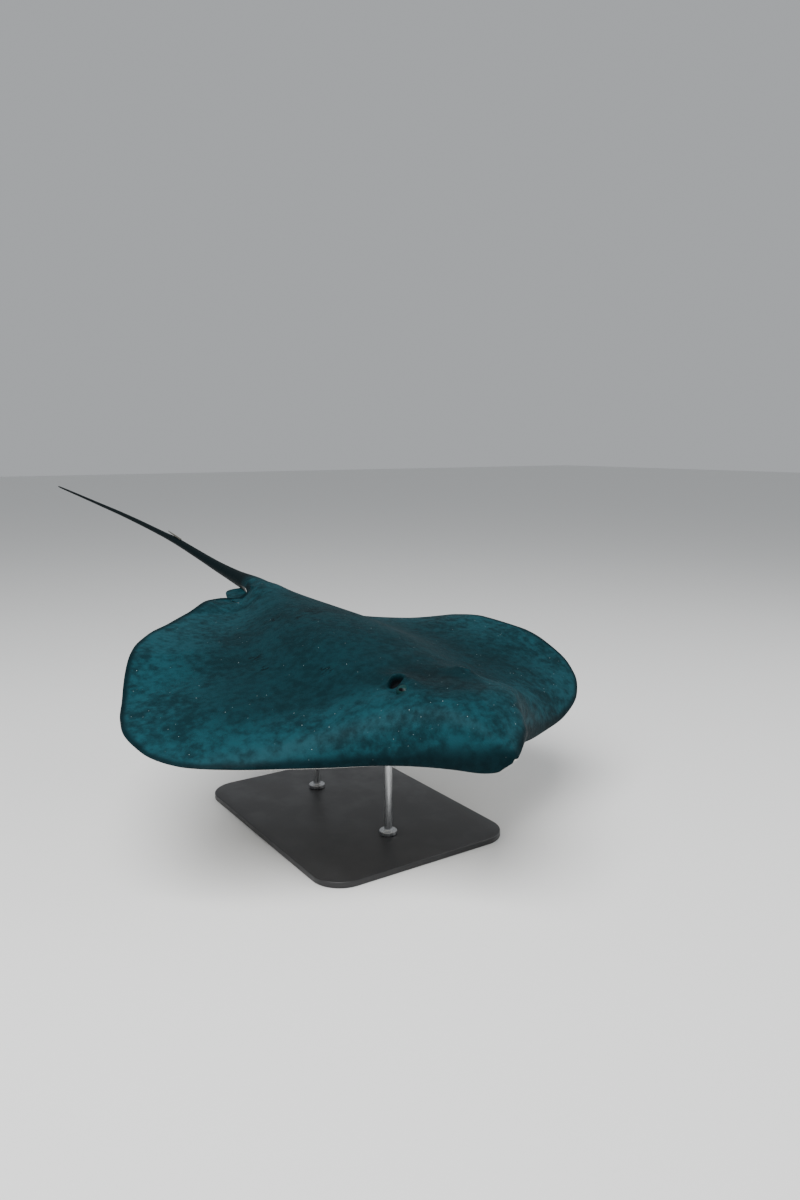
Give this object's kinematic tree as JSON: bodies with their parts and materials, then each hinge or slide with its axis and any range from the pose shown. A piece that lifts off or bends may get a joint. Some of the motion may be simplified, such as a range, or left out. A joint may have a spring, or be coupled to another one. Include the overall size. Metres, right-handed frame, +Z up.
{
  "type": "stingray display model",
  "caption": "Life-size whipray in a gliding pose, wings rippling and long tail trailing, on a flat base with two upright rods.",
  "frame": {"origin": "centre of the underside of the stand's base, on the floor", "axes": "+Z up, the ray faces -Y with its tail towards +Y, and its left side is towards +X"},
  "size_m": [0.9964, 2.7575, 0.6025],
  "materials": {
    "skin": "smooth wet skin, satin",
    "tail_skin": "smooth dark skin, satin",
    "eye": "glossy",
    "sting": "hard, bone-like",
    "stand_plate": "black satin paint",
    "stand_rod": "brushed"
  },
  "bodies": {
    "root": {"snout": "skin", "head": "skin", "trunk": "skin", "rump": "skin", "wing_left": "skin", "wing_right": "skin", "pelvic_fin_left": "skin", "pelvic_fin_right": "skin", "tail_root": "tail_skin", "tail_fore": "tail_skin", "tail_hind": "tail_skin", "tail_whip": "tail_skin", "eye_left": "eye", "eye_right": "eye", "sting": "sting", "stand_base": "stand_plate", "stand_rod_front": "stand_rod", "stand_rod_rear": "stand_rod"}
  },
  "joints": []
}
